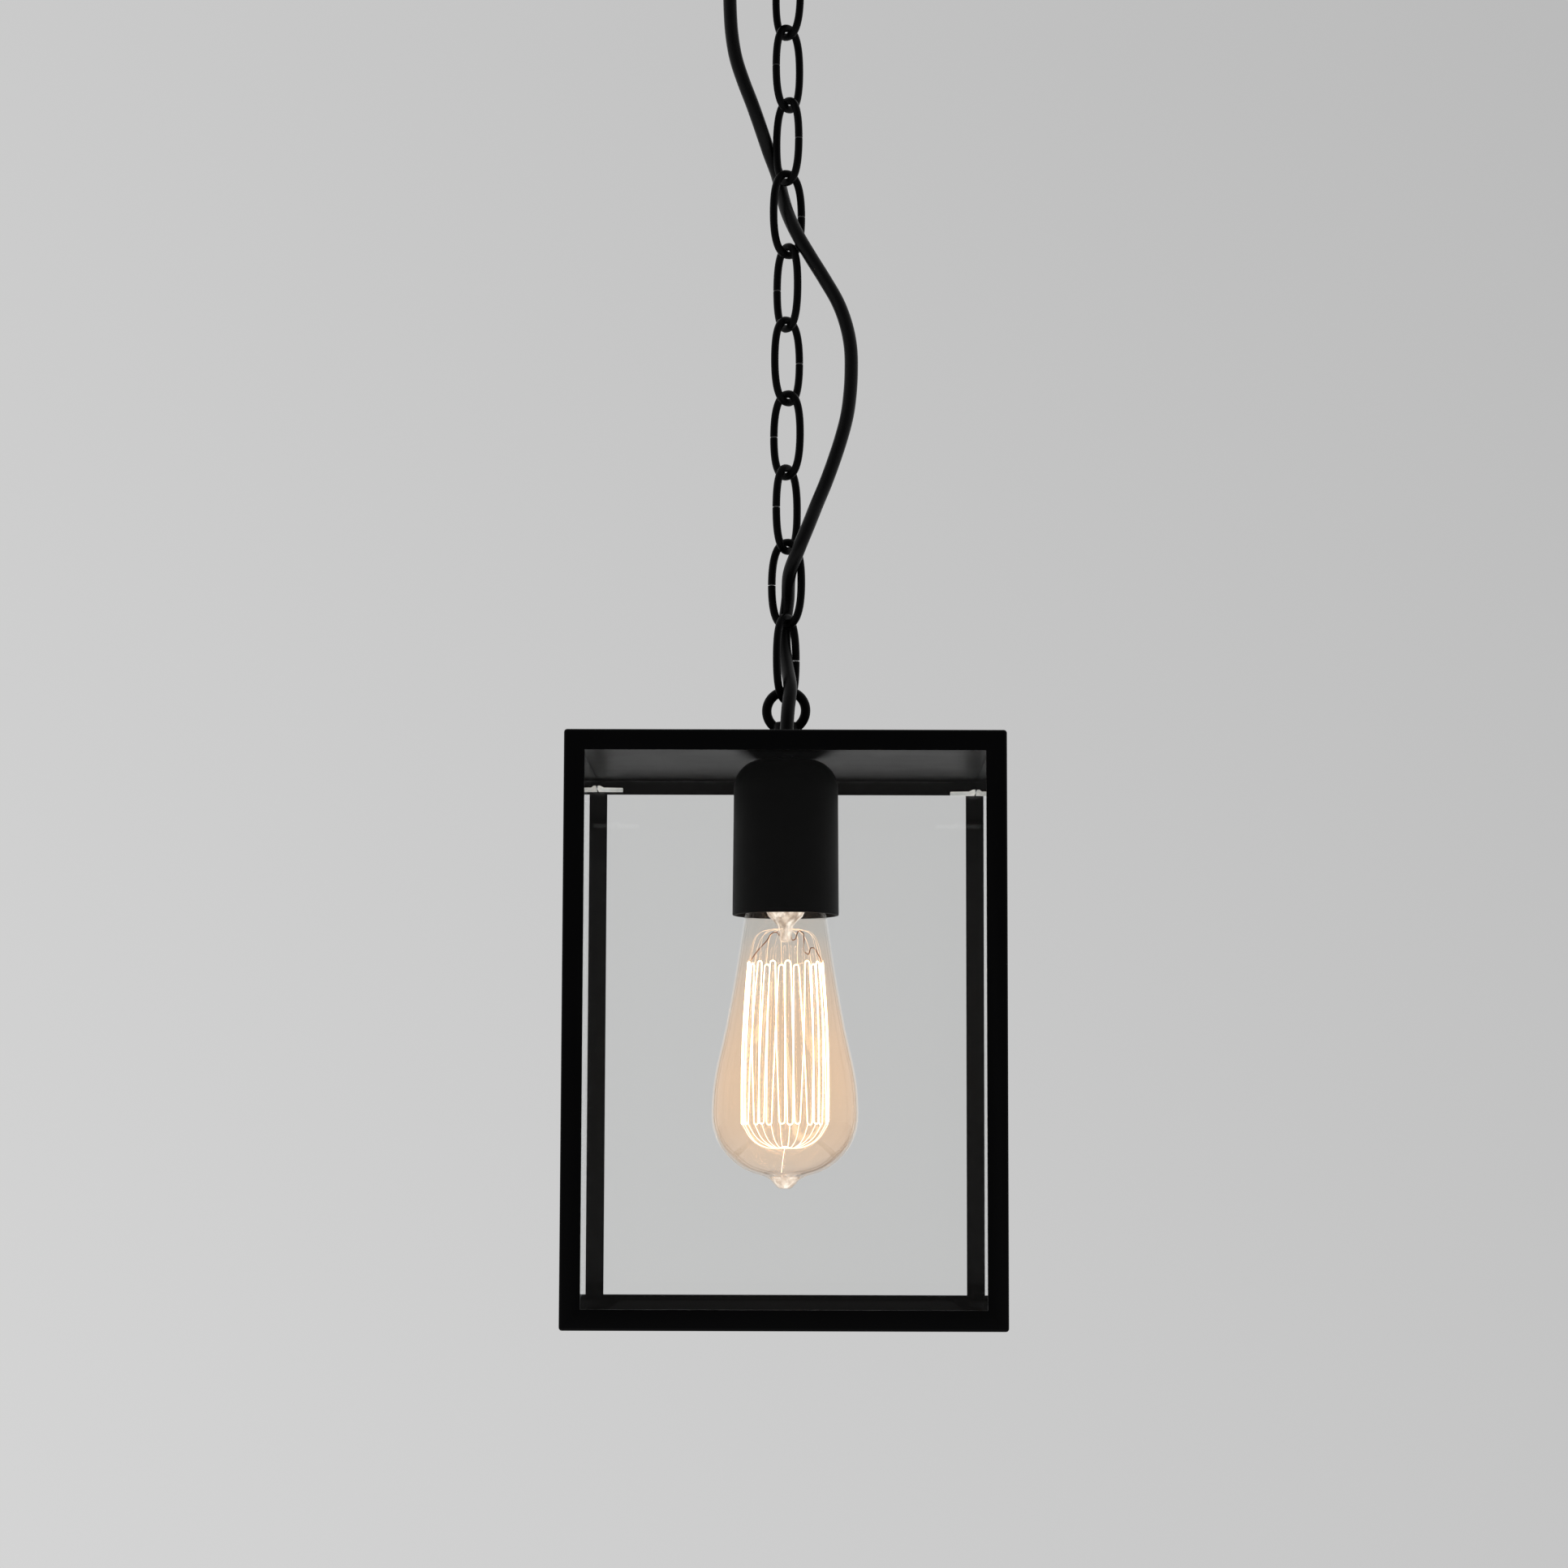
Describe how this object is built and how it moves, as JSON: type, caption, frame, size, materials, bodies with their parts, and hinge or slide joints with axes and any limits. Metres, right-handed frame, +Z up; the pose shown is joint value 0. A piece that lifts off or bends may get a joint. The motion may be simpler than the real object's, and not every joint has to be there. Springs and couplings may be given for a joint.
{
  "type": "hanging lantern",
  "caption": "Glazed square box lantern with a bare filament lamp, hung from a ceiling canopy on an open-link chain with the mains cable threaded through it.",
  "frame": {"origin": "middle of the ceiling bracket's top face, which is screwed to the ceiling", "axes": "+Z up to the ceiling, +X to the right and +Y to the back of the glazed box, parallel to its sides"},
  "size_m": [0.18, 0.18, 0.64],
  "materials": {
    "black_powder_coat": "satin textured powder coat over steel",
    "black_holder_plastic": "matt moulded black thermoplastic",
    "cable_rubber": "smooth black rubber sheath",
    "window_glass": "clear flat glass",
    "lamp_glass": "clear glass with a faint amber tint",
    "stem_glass": "clear pressed glass",
    "corner_clip_plastic": "pale translucent moulding",
    "brass": "plain brass",
    "zinc_plate": "bright zinc plate",
    "porcelain": "white glaze",
    "cap_insulator_glass": "black vitrified glass",
    "solder": "dull solder",
    "filament_wire": "glowing wire",
    "support_wire": "bright thin wire",
    "terminal_nylon": "natural nylon"
  },
  "bodies": {
    "ceiling_fitting": {"ceiling_bracket": "zinc_plate", "canopy": "black_powder_coat", "canopy_screw_left": "black_powder_coat", "canopy_screw_right": "black_powder_coat", "ceiling_loop": "black_powder_coat", "ceiling_loop_nut": "zinc_plate", "canopy_cord_grip": "black_holder_plastic", "terminal_block": "terminal_nylon", "mains_cable": "cable_rubber"},
    "link_01": {"chain_link_01": "black_powder_coat"},
    "link_02": {"chain_link_02": "black_powder_coat"},
    "link_03": {"chain_link_03": "black_powder_coat"},
    "link_04": {"chain_link_04": "black_powder_coat"},
    "link_05": {"chain_link_05": "black_powder_coat"},
    "link_06": {"chain_link_06": "black_powder_coat"},
    "link_07": {"chain_link_07": "black_powder_coat"},
    "link_08": {"chain_link_08": "black_powder_coat"},
    "link_09": {"chain_link_09": "black_powder_coat"},
    "link_10": {"chain_link_10": "black_powder_coat"},
    "lantern": {"top_rail_front": "black_powder_coat", "top_rail_right": "black_powder_coat", "top_rail_back": "black_powder_coat", "top_rail_left": "black_powder_coat", "bottom_rail_front": "black_powder_coat", "bottom_rail_right": "black_powder_coat", "bottom_rail_back": "black_powder_coat", "bottom_rail_left": "black_powder_coat", "post_front_left": "black_powder_coat", "post_front_right": "black_powder_coat", "post_back_left": "black_powder_coat", "post_back_right": "black_powder_coat", "top_plate": "black_powder_coat", "glass_front": "window_glass", "glass_right": "window_glass", "glass_back": "window_glass", "glass_left": "window_glass", "corner_clip_front_left": "corner_clip_plastic", "corner_clip_front_right": "corner_clip_plastic", "corner_clip_back_left": "corner_clip_plastic", "corner_clip_back_right": "corner_clip_plastic", "lantern_loop": "black_powder_coat", "loop_lock_nut": "zinc_plate", "lantern_cord_grip": "black_holder_plastic", "holder_cover": "black_holder_plastic", "holder_body": "porcelain", "screw_shell": "brass", "centre_contact": "brass"},
    "lamp": {"lamp_envelope": "lamp_glass", "lamp_cap": "brass", "cap_insulator": "cap_insulator_glass", "cap_contact": "solder", "glass_stem": "stem_glass", "filament": "filament_wire", "upper_supports": "support_wire", "lower_supports": "support_wire"}
  },
  "joints": [
    {"name": "top_link_swing", "type": "hinge", "parent": "ceiling_fitting", "child": "link_10", "pos_m": [0, 0, -0.04805], "axis": [0.7071, 0.7071, 0], "range_deg": [-12, 12]},
    {"name": "link_09_swing", "type": "hinge", "parent": "link_10", "child": "link_09", "pos_m": [0, 0, -0.08035], "axis": [0.7071, -0.7071, 0], "range_deg": [-8, 8]},
    {"name": "link_08_swing", "type": "hinge", "parent": "link_09", "child": "link_08", "pos_m": [0, 0, -0.11305], "axis": [0.6756, 0.7373, 0], "range_deg": [-8, 8]},
    {"name": "link_07_swing", "type": "hinge", "parent": "link_08", "child": "link_07", "pos_m": [0, 0, -0.14575], "axis": [0.6428, -0.766, 0], "range_deg": [-8, 8]},
    {"name": "link_06_swing", "type": "hinge", "parent": "link_07", "child": "link_06", "pos_m": [0, 0, -0.17845], "axis": [0.8039, 0.5948, 0], "range_deg": [-8, 8]},
    {"name": "link_05_swing", "type": "hinge", "parent": "link_06", "child": "link_05", "pos_m": [0, 0, -0.21115], "axis": [0.5948, -0.8039, 0], "range_deg": [-8, 8]},
    {"name": "link_04_swing", "type": "hinge", "parent": "link_05", "child": "link_04", "pos_m": [0, 0, -0.24385], "axis": [0.7071, 0.7071, 0], "range_deg": [-8, 8]},
    {"name": "link_03_swing", "type": "hinge", "parent": "link_04", "child": "link_03", "pos_m": [0, 0, -0.27655], "axis": [0.7547, -0.6561, 0], "range_deg": [-8, 8]},
    {"name": "link_02_swing", "type": "hinge", "parent": "link_03", "child": "link_02", "pos_m": [0, 0, -0.30925], "axis": [0.5948, 0.8039, 0], "range_deg": [-8, 8]},
    {"name": "link_01_swing", "type": "hinge", "parent": "link_02", "child": "link_01", "pos_m": [0, 0, -0.34195], "axis": [0.848, -0.5299, 0], "range_deg": [-8, 8]},
    {"name": "lantern_swing", "type": "hinge", "parent": "link_01", "child": "lantern", "pos_m": [0, 0, -0.37465], "axis": [0.5446, 0.8387, 0], "range_deg": [-10, 10], "deforming": ["mains_cable"]},
    {"name": "lamp_turn", "type": "hinge", "parent": "lantern", "child": "lamp", "pos_m": [0, 0, -0.45], "axis": [0, 0, 1], "continuous": true}
  ]
}
